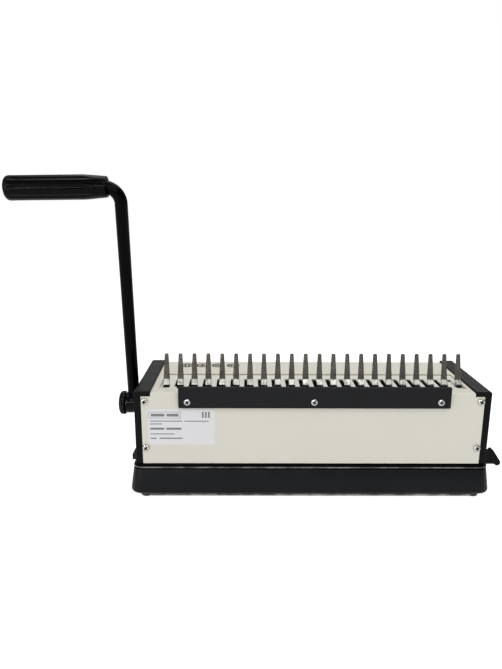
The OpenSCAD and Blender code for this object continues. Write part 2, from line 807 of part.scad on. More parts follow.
base_shell();
bottom_plate();
rubber_feet();
base_screws();
tray_guides();
left_frame();
right_frame();
frame_screws();
die_plate();
paper_stop();
guide_plate();
guide_rods();
tie_rods();
shaft_bushes();
cover();
left_panel();
right_panel();
cover_screws();
stop_bar();
stop_bar_screws();
label_plate();
icon_badges();
tine_strip();
tines();
hook_rails();
punch_beam();
punch_pins();
cam_pads();
return_springs();
main_shaft();
lift_cams();
drive_arms();
shaft_rings();
lever_hub();
lever_bar();
lever_grip();
hub_knob();
hook_plate();
hook_forks();
waste_tray();
tray_pull();
edge_guide();
guide_knob();
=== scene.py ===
"""Looks for the comb binding machine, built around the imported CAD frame."""
import math

import bmesh
import bpy
from mathutils import Matrix, Vector


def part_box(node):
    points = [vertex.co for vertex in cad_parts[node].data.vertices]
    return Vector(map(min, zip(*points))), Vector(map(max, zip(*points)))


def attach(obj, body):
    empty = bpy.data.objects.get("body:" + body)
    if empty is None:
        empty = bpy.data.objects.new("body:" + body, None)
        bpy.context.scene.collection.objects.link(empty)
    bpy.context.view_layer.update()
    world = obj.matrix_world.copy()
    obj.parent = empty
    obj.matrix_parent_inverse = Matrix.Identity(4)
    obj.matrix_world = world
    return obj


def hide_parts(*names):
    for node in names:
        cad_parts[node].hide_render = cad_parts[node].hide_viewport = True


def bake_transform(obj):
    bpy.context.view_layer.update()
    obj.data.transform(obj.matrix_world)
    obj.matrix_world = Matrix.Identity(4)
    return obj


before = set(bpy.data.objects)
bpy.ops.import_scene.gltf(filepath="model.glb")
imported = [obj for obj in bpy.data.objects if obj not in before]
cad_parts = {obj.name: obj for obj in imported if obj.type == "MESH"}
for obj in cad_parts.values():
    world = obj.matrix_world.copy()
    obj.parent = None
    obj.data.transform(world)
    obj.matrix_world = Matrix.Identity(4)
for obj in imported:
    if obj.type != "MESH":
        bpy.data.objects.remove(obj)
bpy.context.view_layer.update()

MM = 0.001
SCENE = bpy.context.scene
CREASE = 32
# Turns an outline's XY into the frame's XZ, so that a prism is drawn out along Y
UPRIGHT = Matrix(((1, 0, 0), (0, 0, 1), (0, 1, 0)))


def low(node):
    """The low corner of a node's box in the frame, in metres. high() gives the other one."""
    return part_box(node)[0]


def high(node):
    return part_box(node)[1]


# ---------------------------------------------------------------- places, from the frame
# The cabinet's own axes: x from the middle of its width, y from the middle of its depth, z from the ground
MID_X = (low("left_panel").x + high("right_panel").x) / 2
MID_Y = (low("cover").y + high("cover").y) / 2
HALF_W = (high("right_panel").x - MID_X) / MM
REAR = (low("cover").y - MID_Y) / MM
FRONT = (high("cover").y - MID_Y) / MM
PANEL_TOP = high("right_panel").z / MM
COVER_TOP = high("cover").z / MM
COVER_FOOT = low("cover").z / MM
DECK = high("base_shell").z / MM
BASE_FOOT = low("base_shell").z / MM
PIVOT_Z = (low("main_shaft").z + high("main_shaft").z) / 2 / MM
PIVOT_Y = ((low("main_shaft").y + high("main_shaft").y) / 2 - MID_Y) / MM
# Distances from the cabinet's middle out to the hub's inner face and to the lever's bar
HUB_IN = HALF_W + 0.8
LEVER_X = HALF_W + 10.9


def at(x, y, z):
    """A point in the cabinet's axes, in millimetres, as a place in the frame."""
    return Vector((MID_X + x * MM, MID_Y + y * MM, z * MM))


def place(x=0, y=0, z=0, turn=None):
    """A matrix that takes millimetres at a point of the cabinet to metres in the frame."""
    return Matrix.Translation(at(x, y, z)) @ (turn or Matrix()).to_4x4() @ Matrix.Scale(MM, 4)


def turned(axis, degrees):
    return Matrix.Rotation(math.radians(degrees), 4, axis)


def inner(node):
    """A node's box in the cabinet's axes, in millimetres."""
    shift = Vector((MID_X, MID_Y, 0))
    a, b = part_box(node)
    return (a - shift) / MM, (b - shift) / MM


# ---------------------------------------------------------------- mesh helpers
def new_mesh(name, bm):
    """A mesh made of a bmesh, with every face turned outwards."""
    bmesh.ops.recalc_face_normals(bm, faces=bm.faces)
    mesh = bpy.data.meshes.new(name)
    bm.to_mesh(mesh)
    bm.free()
    return mesh


def new_object(name, data):
    obj = bpy.data.objects.new(name, data)
    SCENE.collection.objects.link(obj)
    return obj


def shade(mesh, crease=CREASE):
    """Smooth shading with a sharp edge wherever two faces meet at more than the crease angle."""
    mesh.shade_smooth()
    mesh.set_sharp_from_angle(angle=math.radians(crease))


def piece(name, bm, materials, body, stands_for=(), smooth=CREASE, bevel=0, segments=3):
    """Turns a bmesh into a piece that rides on a body."""
    mesh = new_mesh(name, bm)
    for m in materials if isinstance(materials, list) else [materials]:
        mesh.materials.append(m)
    shade(mesh, smooth)
    obj = new_object(name, mesh)
    if bevel:
        soften(obj, bevel, segments)
    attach(obj, body)
    if stands_for:
        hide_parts(*stands_for)
    return obj


def soften(obj, width, segments=2, angle=35):
    """Rounds an object's sharp edges with modifiers."""
    bevel = obj.modifiers.new("rounded edges", "BEVEL")
    bevel.width = width * MM
    bevel.segments = segments
    bevel.limit_method = "ANGLE"
    bevel.angle_limit = math.radians(angle)
    bevel.miter_outer = "MITER_ARC"
    bevel.use_clamp_overlap = True
    normals = obj.modifiers.new("even normals", "WEIGHTED_NORMAL")
    normals.keep_sharp = False


def dress(node, material, bevel=0.25, segments=2):
    """Gives a CAD node that stays a material, and rounds its edges."""
    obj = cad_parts[node]
    obj.data.materials.clear()
    obj.data.materials.append(material)
    weld = obj.modifiers.new("joined corners", "WELD")
    weld.merge_threshold = 1e-6
    if bevel:
        soften(obj, bevel, segments)


def bridge(bm, rings, closed=True):
    """Faces between neighbouring rings of equal length, or of one point."""
    for a, b in zip(rings, rings[1:]):
        n = max(len(a), len(b))
        for i in range(n if closed else n - 1):
            j = (i + 1) % n
            corners = [a[i % len(a)], a[j % len(a)], b[j % len(b)], b[i % len(b)]]
            corners = [c for k, c in enumerate(corners) if c not in corners[:k]]
            if len(corners) > 2:
                bm.faces.new(corners)


def cap(bm, rings):
    """Closes both ends of a run of rings."""
    bm.faces.new(rings[0])
    bm.faces.new(rings[-1])


def lathe(bm, profile, matrix, steps=64, shape=None):
    """A solid of revolution about the matrix's Z, from (radius, height) pairs.
    shape(angle, radius, height) may change the radius."""
    rings = []
    for r, h in profile:
        if r < 1e-6:
            rings.append([bm.verts.new(matrix @ Vector((0, 0, h)))])
            continue
        ring = []
        for i in range(steps):
            a = 2 * math.pi * i / steps
            radius = shape(a, r, h) if shape else r
            ring.append(bm.verts.new(matrix @ Vector((radius * math.cos(a), radius * math.sin(a), h))))
        rings.append(ring)
    bridge(bm, rings)
    return rings


def prism(bm, outline, matrix, depth):
    """An outline in the matrix's XY, drawn out along its Z."""
    rings = [[bm.verts.new(matrix @ Vector((x, y, z))) for x, y in outline] for z in (0, depth)]
    bridge(bm, rings)
    for ring in rings:
        bm.faces.new(ring)


def block(bm, a, b):
    """A box from its low and high corners, in the cabinet's axes."""
    outline = [(a[0], a[1]), (b[0], a[1]), (b[0], b[1]), (a[0], b[1])]
    prism(bm, outline, place(0, 0, a[2]), b[2] - a[2])


def arc(cx, cy, r, start, stop, steps):
    """Points on an arc, from one angle to another, in degrees."""
    angles = [math.radians(start + (stop - start) * i / steps) for i in range(steps + 1)]
    return [(cx + r * math.cos(a), cy + r * math.sin(a)) for a in angles]


def rounded_box(x0, y0, x1, y1, radii, steps=8):
    """A rectangle's outline with its own radius at each corner, from the low one anticlockwise."""
    places = [(x0, y0, 1, 1, 180), (x1, y0, -1, 1, 270), (x1, y1, -1, -1, 0), (x0, y1, 1, -1, 90)]
    points = []
    for (x, y, sx, sy, start), r in zip(places, radii):
        points += arc(x + sx * r, y + sy * r, r, start, start + 90, steps)
    return points


def carve(obj, cutters):
    """Cuts solids, given as functions that fill a bmesh, out of an object's mesh."""
    blank = new_object("blank", obj.data)
    tools = []
    for fill in cutters:
        bm = bmesh.new()
        fill(bm)
        tools.append(new_object("cutter", new_mesh("cutter", bm)))
        cut = blank.modifiers.new("cut", "BOOLEAN")
        cut.object = tools[-1]
        cut.solver = "EXACT"
    depsgraph = bpy.context.evaluated_depsgraph_get()
    depsgraph.update()
    carved = bpy.data.meshes.new_from_object(blank.evaluated_get(depsgraph))
    for spent in [blank, *tools]:
        bpy.data.objects.remove(spent)
    whole = obj.data
    obj.data = carved
    bpy.data.meshes.remove(whole)
    carved.name = obj.name
    shade(carved)


def sweep(bm, path, radius, matrix, steps=48):
    """A round bar with closed ends, along (point, forward) pairs in the matrix's XZ plane."""
    rings = []
    for p, forward in path:
        side = Vector((0, 1, 0))
        up = forward.cross(side).normalized()
        ring = []
        for i in range(steps):
            a = 2 * math.pi * i / steps
            ring.append(bm.verts.new(matrix @ (p + radius * (math.cos(a) * up + math.sin(a) * side))))
        rings.append(ring)
    bridge(bm, rings)
    cap(bm, rings)


# ---------------------------------------------------------------- materials
class Shader:
    """A Principled material and short ways to wire nodes into it."""

    def __init__(self, name, color, roughness, metallic=0.0, **inputs):
        self.material = bpy.data.materials.new(name)
        self.material.use_nodes = True
        self.tree = self.material.node_tree
        self.bsdf = self.tree.nodes["Principled BSDF"]
        self.bsdf.inputs["Base Color"].default_value = (*color, 1)
        self.bsdf.inputs["Roughness"].default_value = roughness
        self.bsdf.inputs["Metallic"].default_value = metallic
        for key, value in inputs.items():
            self.bsdf.inputs[key.replace("_", " ")].default_value = value
        self.coords = self.tree.nodes.new("ShaderNodeTexCoord").outputs["Object"]
        self.height = None

    def node(self, kind, **settings):
        made = self.tree.nodes.new("ShaderNode" + kind)
        for key, value in settings.items():
            setattr(made, key, value)
        return made

    def wire(self, a, b):
        self.tree.links.new(a, b)

    def stretched(self, x=1, y=1, z=1):
        """The object's coordinates, stretched along each axis."""
        mapping = self.node("Mapping")
        mapping.inputs["Scale"].default_value = (x, y, z)
        self.wire(self.coords, mapping.inputs["Vector"])
        return mapping.outputs["Vector"]

    def noise(self, scale, detail=3, coords=None):
        made = self.node("TexNoise")
        made.inputs["Scale"].default_value = scale
        made.inputs["Detail"].default_value = detail
        self.wire(coords or self.coords, made.inputs["Vector"])
        return made.outputs["Fac"]

    def cells(self, scale, coords=None):
        made = self.node("TexVoronoi")
        made.inputs["Scale"].default_value = scale
        self.wire(coords or self.coords, made.inputs["Vector"])
        return made.outputs["Distance"]

    def spread(self, value, low_in, high_in, low_out, high_out):
        """A value moved from one range to another, and kept inside it."""
        made = self.node("MapRange")
        for i, number in enumerate((low_in, high_in, low_out, high_out)):
            made.inputs[i + 1].default_value = number
        self.wire(value, made.inputs[0])
        return made.outputs[0]

    def math(self, operation, a, b):
        made = self.node("Math", operation=operation)
        for socket, value in zip(made.inputs, (a, b)):
            if isinstance(value, (int, float)):
                socket.default_value = value
            else:
                self.wire(value, socket)
        return made.outputs[0]

    def tint(self, fac, color):
        """Mixes a colour over what the base colour has so far."""
        mix = self.node("Mix", data_type="RGBA")
        base = self.bsdf.inputs["Base Color"]
        if base.links:
            self.wire(base.links[0].from_socket, mix.inputs[6])
        else:
            mix.inputs[6].default_value = base.default_value
        mix.inputs[7].default_value = (*color, 1)
        self.wire(fac, mix.inputs[0])
        self.wire(mix.outputs[2], base)

    def rough(self, value, low_out, high_out, low_in=0.3, high_in=0.7):
        self.wire(self.spread(value, low_in, high_in, low_out, high_out), self.bsdf.inputs["Roughness"])

    def bump(self, value, strength, distance):
        """Adds a bump. distance is in millimetres."""
        made = self.node("Bump")
        made.inputs["Strength"].default_value = strength
        made.inputs["Distance"].default_value = distance * MM
        self.wire(value, made.inputs["Height"])
        if self.height:
            self.wire(self.height, made.inputs["Normal"])
        self.height = made.outputs["Normal"]
        self.wire(self.height, self.bsdf.inputs["Normal"])


def tone(color, factor):
    return tuple(min(1, c * factor) for c in color)


def enamel(name, color, roughness):
    """Baked enamel on sheet steel: a faint orange peel, cloudy gloss and slight soiling."""
    s = Shader(name, color, roughness, Coat_Weight=0.12, Coat_Roughness=0.25)
    cloud = s.noise(14, 4)
    s.tint(s.spread(cloud, 0.35, 0.75, 0, 0.35), tone(color, 0.93))
    s.tint(s.spread(s.noise(420, 2), 0.68, 0.8, 0, 0.25), tone(color, 0.8))
    s.rough(s.noise(60, 3), roughness - 0.05, roughness + 0.08)
    s.bump(s.noise(900, 2), 0.12, 0.05)
    return s.material


def dark_enamel(name, color, roughness):
    """Black paint on folded sheet: fine orange peel and thin scuffs."""
    s = Shader(name, color, roughness, Specular_IOR_Level=0.16)
    s.tint(s.spread(s.noise(35, 4), 0.4, 0.7, 0, 0.6), tone(color, 1.5))
    s.tint(s.spread(s.noise(900, 3, s.stretched(0.15, 1, 1)), 0.68, 0.8, 0, 0.4), tone(color, 5))
    s.rough(s.noise(80, 4), roughness - 0.06, roughness + 0.1)
    s.bump(s.noise(1100, 2), 0.15, 0.05)
    return s.material


def moulded(name, color, roughness, grain=2600, depth=0.35, shine=0.14):
    """Moulded plastic: fine spark-eroded grain and a slightly uneven sheen."""
    s = Shader(name, color, roughness, Specular_IOR_Level=shine)
    s.tint(s.spread(s.noise(18, 4), 0.4, 0.7, 0, 0.6), tone(color, 1.5))
    s.tint(s.spread(s.noise(1500, 2), 0.66, 0.8, 0, 0.4), tone(color, 3.2))
    s.rough(s.noise(70, 4), roughness - 0.06, roughness + 0.1)
    s.bump(s.noise(grain, 2), depth, 0.06)
    return s.material


def painted_highlight(name, color, roughness):
    """A moulded black with a painted highlight, lighter in patches along its length."""
    s = Shader(name, color, roughness, Specular_IOR_Level=0.7)
    # lighter patches along the length: a painted highlight
    s.tint(s.spread(s.noise(60, 4, s.stretched(1, 0.2, 1)), 0.42, 0.62, 0, 0.9), (0.2, 0.2, 0.19))
    s.rough(s.noise(200, 4), roughness, roughness + 0.2)
    s.bump(s.noise(900, 2), 0.2, 0.05)
    return s.material


def gloss_paint(name, color, roughness):
    """Thick glossy paint on drawn steel: long soft waves and a few dust nibs."""
    s = Shader(name, color, roughness, Specular_IOR_Level=0.04)
    s.tint(s.spread(s.noise(25, 3), 0.4, 0.7, 0, 0.5), tone(color, 1.6))
    s.rough(s.noise(90, 4), roughness - 0.04, roughness + 0.12)
    s.bump(s.noise(160, 2), 0.1, 0.1)
    s.bump(s.spread(s.cells(420), 0.0, 0.06, 1, 0), 0.12, 0.05)
    return s.material


def plated(name, color, roughness):
    """Bright zinc or nickel plate: fine scratches and small cloudy stains."""
    s = Shader(name, color, roughness, metallic=1.0)
    s.tint(s.spread(s.noise(220, 4), 0.45, 0.75, 0, 0.5), tone(color, 0.6))
    s.rough(s.noise(500, 4), roughness - 0.1, roughness + 0.15)
    s.bump(s.noise(1400, 3, s.stretched(1, 1, 8)), 0.15, 0.03)
    return s.material


def sheet_steel(name, color, roughness, along=(1, 12, 12)):
    """Rolled steel: a grain along one axis, and darker oil stains."""
    s = Shader(name, color, roughness, metallic=1.0)
    grain = s.noise(260, 4, s.stretched(*along))
    s.tint(s.spread(grain, 0.35, 0.65, 0, 0.6), tone(color, 0.72))
    s.tint(s.spread(s.noise(22, 5), 0.5, 0.75, 0, 0.5), tone(color, 0.55))
    s.rough(grain, roughness - 0.08, roughness + 0.14)
    s.bump(grain, 0.18, 0.03)
    return s.material


def patchy(name):
    """Bare steel at the joggles: bright on some tines, dull and streaked on others."""
    s = Shader(name, (0.5, 0.49, 0.46), 0.34, metallic=0.85)
    s.tint(s.spread(s.noise(7, 2, s.stretched(1, 0, 0)), 0.45, 0.6, 0, 0.75), (0.2, 0.195, 0.18))
    s.tint(s.spread(s.noise(420, 3), 0.5, 0.66, 0, 0.8), (0.1, 0.095, 0.085))
    s.rough(s.noise(600, 4), 0.26, 0.52)
    s.bump(s.noise(900, 3), 0.35, 0.05)
    return s.material


def worn_steel(name):
    """The tines' dark blued steel: mottled brown-grey, with bare specks and fine grinding marks.
    The row is browner at the lever's end and greyer at the other."""
    color = (0.052, 0.039, 0.032)
    s = Shader(name, color, 0.5, metallic=0.55)
    apart = s.node("SeparateXYZ")
    s.wire(s.coords, apart.inputs[0])
    brown_end, grey_from = low("tines").x + 0.04, low("tines").x + 0.18
    s.tint(s.spread(apart.outputs["X"], brown_end, grey_from, 0, 1), (0.063, 0.061, 0.053))
    s.tint(s.spread(s.noise(160, 4), 0.4, 0.65, 0, 0.75), (0.1, 0.088, 0.076))
    s.tint(s.spread(s.noise(1100, 3), 0.56, 0.7, 0, 0.75), (0.24, 0.225, 0.2))
    s.tint(s.spread(s.noise(800, 3), 0.3, 0.42, 0.85, 0), (0.03, 0.022, 0.018))
    s.rough(s.noise(700, 3), 0.38, 0.62)
    s.bump(s.noise(1300, 3, s.stretched(1, 1, 0.25)), 0.5, 0.06)
    return s.material


def rubber(name):
    color = (0.02, 0.02, 0.021)
    s = Shader(name, color, 0.75)
    s.tint(s.spread(s.noise(90, 4), 0.4, 0.7, 0, 0.5), tone(color, 1.9))
    s.rough(s.noise(300, 3), 0.66, 0.86)
    s.bump(s.noise(1800, 3), 0.5, 0.08)
    return s.material


def film(name, color, roughness):
    """A printed film: fine paper-like grain and slight waviness."""
    s = Shader(name, color, roughness)
    s.tint(s.spread(s.noise(30, 3), 0.4, 0.7, 0, 0.5), tone(color, 0.94))
    s.tint(s.spread(s.noise(2400, 2), 0.62, 0.8, 0, 0.3), tone(color, 0.85))
    s.rough(s.noise(180, 3), roughness - 0.06, roughness + 0.1)
    s.bump(s.noise(120, 2), 0.1, 0.05)
    return s.material


def hatched(name, color, roughness):
    """Black plastic with a moulded cross-hatch for the fingers."""
    s = Shader(name, color, roughness, Specular_IOR_Level=0.08)
    lines = []
    for sign in (1, -1):
        wave = s.node("TexWave", bands_direction="X")
        wave.inputs["Scale"].default_value = 95
        mapping = s.node("Mapping")
        mapping.inputs["Rotation"].default_value = (0, math.radians(45 * sign), 0)
        s.wire(s.coords, mapping.inputs["Vector"])
        s.wire(mapping.outputs["Vector"], wave.inputs["Vector"])
        lines.append(wave.outputs["Fac"])
    both = s.math("MULTIPLY", lines[0], lines[1])
    s.tint(s.spread(both, 0.2, 0.9, 0, 0.7), tone(color, 6))
    s.rough(s.noise(70, 4), roughness - 0.06, roughness + 0.1)
    s.bump(both, 0.8, 0.5)
    s.bump(s.noise(2600, 2), 0.3, 0.05)
    return s.material


CREAM = enamel("cream enamel", (0.62, 0.60, 0.525), 0.36)
PALE = enamel("pale enamel", (0.66, 0.645, 0.585), 0.4)
BASE_BLACK = moulded("base moulding", (0.003, 0.0037, 0.0045), 0.36, depth=0.22, shine=0.12)
# the bead under the cabinet and the bottom plate's lip get a painted highlight, lighter in patches
HIGHLIGHT_BLACK = painted_highlight("black with painted highlight", (0.02, 0.02, 0.019), 0.2)
# near-black with little shine for the groove and the recessed band under the cabinet: painted shade
GROOVE_SHADE_BLACK = moulded("groove moulding with painted shade", (0.0012, 0.0012, 0.0013), 0.5, shine=0.03)
# the panels' plastic in two copies: the top faces get a lighter colour and more shine, a painted sheen
PANEL_BLACK = moulded("side panel moulding", (0.002, 0.002, 0.002), 0.4, shine=0.08)
PANEL_TOP_SHEEN_BLACK = moulded("side panel top with painted sheen", (0.006, 0.006, 0.006), 0.42, shine=0.3)
GRIP_BLACK = moulded("grip moulding", (0.0006, 0.0007, 0.0008), 0.2, depth=0.06, shine=0.065)
HUB_BLACK = moulded("hub moulding", (0.001, 0.001, 0.0011), 0.13, depth=0.06, shine=0.1)
INNER_BLACK = moulded("inner moulding", (0.018, 0.018, 0.019), 0.5)
BAR_PAINT = gloss_paint("lever paint", (0.0006, 0.0007, 0.0007), 0.1)
STOP_PAINT = dark_enamel("stop bar paint", (0.0028, 0.0032, 0.0042), 0.34)
TINE_STEEL = worn_steel("blued tine steel")
BARE_STEEL = patchy("bare tine steel")
# near-black for the tines' roots below the joggle: painted shade of the slot they go down into
ROOT_SHADE_BLACK = dark_enamel("tine root painted shade", (0.0025, 0.0025, 0.0028), 0.5)
PLATE = plated("bright plate", (0.72, 0.71, 0.68), 0.26)
SCREW_PLATE = plated("screw plate", (0.5, 0.49, 0.47), 0.24)
# near-black for the screws' cross recesses: painted shade
CROSS_SHADE_BLACK = moulded("painted shade in the crosses", (0.008, 0.008, 0.008), 0.6, shine=0.1)
FRAME_STEEL = sheet_steel("frame sheet", (0.5, 0.51, 0.53), 0.38, along=(12, 12, 1))
STRIP_STEEL = sheet_steel("strip steel", (0.5, 0.5, 0.5), 0.36)
DIE_STEEL = sheet_steel("die steel", (0.24, 0.235, 0.23), 0.32)
PIN_STEEL = sheet_steel("ground steel", (0.62, 0.62, 0.63), 0.2, along=(12, 12, 1))
BRASS = sheet_steel("turned brass", (0.66, 0.46, 0.17), 0.3, along=(12, 1, 1))
RUBBER = rubber("foot rubber")
LABEL_FILM = film("silver-grey film", (0.66, 0.66, 0.68), 0.42)
INK = film("printed grey", (0.17, 0.17, 0.18), 0.5)
BADGE_DARK = film("badge black", (0.012, 0.011, 0.01), 0.5)
BADGE_PALE = film("badge cream", (0.5, 0.485, 0.43), 0.45)
PULL_BLACK = hatched("hatched moulding", (0.0022, 0.0022, 0.0024), 0.42)


# ---------------------------------------------------------------- base
BASE_WALL = 3
# How far the base narrows from its foot to its top edge, at each end and at each long side
END_DRAFT = 5
SIDE_DRAFT = 3.5
FOOT_CORNER = 12.5


def base_ring(bm, z, grow):
    """One level of the base, where grow moves its wall outwards from the CAD's drafted one."""
    low_b, high_b = inner("base_shell")
    rise = (z - BASE_FOOT) / (DECK - BASE_FOOT)
    end = high_b.x - END_DRAFT * rise + grow
    rear = low_b.y + SIDE_DRAFT * rise - grow
    front = high_b.y - SIDE_DRAFT * rise + grow
    corner = FOOT_CORNER - SIDE_DRAFT * rise + grow
    outline = rounded_box(-end, rear, end, front, [corner] * 4, 10)
    return [bm.verts.new(place() @ Vector((x, y, z))) for x, y in outline]


def base_finish(z):
    """Which of the base's materials a level above the edge at z has: plain, the bead with a painted
    highlight, or painted shade on the groove and on the recessed band under the cabinet.
    """
    groove_z, bead_z, bead_top = 31, 32.3, 33.9
    if z < groove_z:
        return 0
    return 1 if bead_z <= z < bead_top else 2


def base():
    """The drafted base: a rounded lower edge, a bead and groove under the cabinet, and a hollow inside."""
    edge_r = 4.2
    # levels of the wall, each a height and how far the wall moves outwards there
    inside = [(DECK - BASE_WALL, -BASE_WALL), (9.5, -BASE_WALL), (6.2, -5.4), (BASE_FOOT + 0.3, -5.5),
              (BASE_FOOT, -5.2)]
    lower = [(z, g) for g, z in arc(-edge_r, BASE_FOOT + edge_r, edge_r, 270, 360, 8)]
    groove = [(30.6, 0), (31.0, -0.15), (31.3, -0.7), (31.9, -0.8)]
    bead = [(32.3, -0.55), (32.5, 0.0), (32.8, 0.35), (33.3, 0.5), (33.9, 0.35), (34.2, -0.1), (34.3, -0.7)]
    top = [(35.6, -0.8), (36.1, -0.95), (36.45, -1.3), (DECK, -1.8)]
    levels = inside + lower + groove + bead + top
    bm = bmesh.new()
    rings = [base_ring(bm, z, g) for z, g in levels]
    for (z, _), a, b in zip(levels, rings, rings[1:]):
        start = len(bm.faces)
        bridge(bm, [a, b])
        bm.faces.ensure_lookup_table()
        for face in bm.faces[start:]:
            face.material_index = base_finish(z)
    cap(bm, rings)
    obj = piece("base_visual", bm, [BASE_BLACK, HIGHLIGHT_BLACK, GROOVE_SHADE_BLACK], "cabinet", ["base_shell"],
                smooth=40)
    die_high = inner("die_plate")[1]
    tray_low, tray_high = inner("waste_tray")
    guide_low, guide_high = inner("edge_guide")
    slot_y = (guide_low.y + guide_high.y) / 2
    slot_half = 2.6
    bed = HALF_W - 14.7
    mouth = HALF_W - 8
    outside = HALF_W + 10
    above = DECK + 1

    def works_opening(b):
        block(b, (-bed, REAR + 8, DECK - BASE_WALL - 1), (bed, die_high.y + 0.5, above))

    def tray_mouth(b):
        block(b, (mouth, tray_low.y - 0.5, tray_low.z - 0.2), (outside, tray_high.y + 0.5, tray_high.z + 0.7))

    def tab_mouth(b):
        block(b, (-outside, -2, 13.8), (-mouth, 12, 27.5))

    def guide_slot(b):
        block(b, (guide_low.x - 7, slot_y - slot_half, DECK - 10),
              (guide_high.x + 6, slot_y + slot_half, above))

    carve(obj, [works_opening, tray_mouth, tab_mouth, guide_slot])


def lip():
    """The turned-down edge of the bottom plate, a line between the feet with a painted highlight that stands
    for the floor's reflection.
    """
    bm = bmesh.new()
    low_b, high_b = inner("base_shell")
    foot_in = 21
    near, far = 1.9, 6.2
    bottom, top = 2.4, BASE_FOOT + 0.3
    for start, stop in ((low_b.y + near, low_b.y + far), (high_b.y - far, high_b.y - near)):
        block(bm, (low_b.x + foot_in, start, bottom), (high_b.x - foot_in, stop, top))
    piece("bottom_lip_visual", bm, HIGHLIGHT_BLACK, "cabinet", bevel=0.5)


def feet():
    """Four round rubber feet, each with a small hollow underneath."""
    bm = bmesh.new()
    low_f, high_f = inner("rubber_feet")
    radius = 6.5
    profile = [(0, 1.6), (2.6, 1.6), (2.8, 0.2), (3.2, 0), (radius - 1.3, 0), (radius - 0.5, 0.35),
               (radius - 0.15, 1), (radius, 3.4), (radius, high_f.z), (0, high_f.z)]
    for x in (low_f.x + radius, high_f.x - radius):
        for y in (low_f.y + radius, high_f.y - radius):
            lathe(bm, profile, place(x, y), 48)
    piece("rubber_feet_visual", bm, RUBBER, "cabinet", ["rubber_feet"])


# ---------------------------------------------------------------- cabinet
def cover():
    """The folded cream cover: two bends, a window for the hook plate and the mouth of the throat."""
    sheet = 1.2
    bend = 1.9
    end = HALF_W - 6.8
    top_end = HALF_W - 16.2
    outer = [(REAR, COVER_FOOT)] + arc(REAR + bend, COVER_TOP - bend, bend, 180, 90, 6)
    outer += arc(FRONT - bend, COVER_TOP - bend, bend, 90, 0, 6) + [(FRONT, COVER_FOOT)]
    hollow = [(FRONT - sheet, COVER_FOOT)] + arc(FRONT - bend, COVER_TOP - bend, bend - sheet, 0, 90, 6)
    hollow += arc(REAR + bend, COVER_TOP - bend, bend - sheet, 90, 180, 6) + [(REAR + sheet, COVER_FOOT)]
    bm = bmesh.new()
    # the outline runs in the frame's YZ, and is drawn out along X
    across = Matrix(((0, 0, 1), (1, 0, 0), (0, 1, 0)))
    prism(bm, outer + hollow, place(-end, 0, 0, across), 2 * end)
    obj = piece("cover_visual", bm, CREAM, "cabinet", ["cover"], bevel=0.22, segments=2)
    plate_top = inner("hook_plate")[1].z
    throat_top = inner("guide_plate")[0].z + 1.7
    window_half, window_shift = HALF_W - 21.5, 1.4
    flange_z = PANEL_TOP - 5.5

    def window(b):
        block(b, (-window_half + window_shift, REAR + 15, plate_top - 1),
              (window_half + window_shift, 8, COVER_TOP + 1))

    def left_step(b):
        block(b, (-HALF_W, REAR - 1, flange_z), (-top_end, FRONT + 1, PANEL_TOP))

    def right_step(b):
        block(b, (top_end, REAR - 1, flange_z), (HALF_W, FRONT + 1, PANEL_TOP))

    def throat(b):
        block(b, (-top_end + 4, FRONT - 3, COVER_FOOT - 1), (top_end - 4, FRONT + 1, throat_top))

    carve(obj, [window, left_step, right_step, throat])


def side_panel(side):
    """A moulded side panel: an L in section, with a rounded outer top edge."""
    rim = HALF_W - 6.7
    flange = HALF_W - 16.1
    flange_z = PANEL_TOP - 5.4
    outer_r, inner_r = 2.6, 0.9
    section = [(rim, COVER_FOOT), (HALF_W, COVER_FOOT)]
    section += arc(HALF_W - outer_r, PANEL_TOP - outer_r, outer_r, 0, 90, 8)
    section += arc(flange + inner_r, PANEL_TOP - inner_r, inner_r, 90, 180, 3)
    section += [(flange, flange_z), (rim, flange_z)]
    bm = bmesh.new()
    across = Matrix(((side, 0, 0), (0, 0, 1), (0, 1, 0)))
    prism(bm, section, place(0, REAR, 0, across), FRONT - REAR)
    for face in bm.faces:
        # the top faces take the lighter copy, a painted sheen
        face.material_index = 1 if face.calc_center_median().z / MM > PANEL_TOP - 0.1 else 0
    node = "right_panel" if side > 0 else "left_panel"
    obj = piece(node + "_visual", bm, [PANEL_BLACK, PANEL_TOP_SHEEN_BLACK], "cabinet", [node],
                bevel=0.55)

    def spigot_hole(b):
        radius, depth = 10.5, 12
        inwards = place(-HALF_W - 2, PIVOT_Y, PIVOT_Z, turned("Y", 90))
        cap(b, lathe(b, [(radius, 0), (radius, depth)], inwards))

    if side < 0:
        carve(obj, [spigot_hole])


def stop_bar():
    """The painted bar along the row of tines, with its edges rolled over."""
    low_b, high_b = inner("stop_bar")
    bm = bmesh.new()
    outline = rounded_box(low_b.x, low_b.z, high_b.x, high_b.z, [1.2, 1.2, 0.8, 0.8], 6)
    prism(bm, outline, place(0, low_b.y, 0, UPRIGHT), high_b.y - low_b.y)
    piece("stop_bar_visual", bm, STOP_PAINT, "cabinet", ["stop_bar"], bevel=0.6)


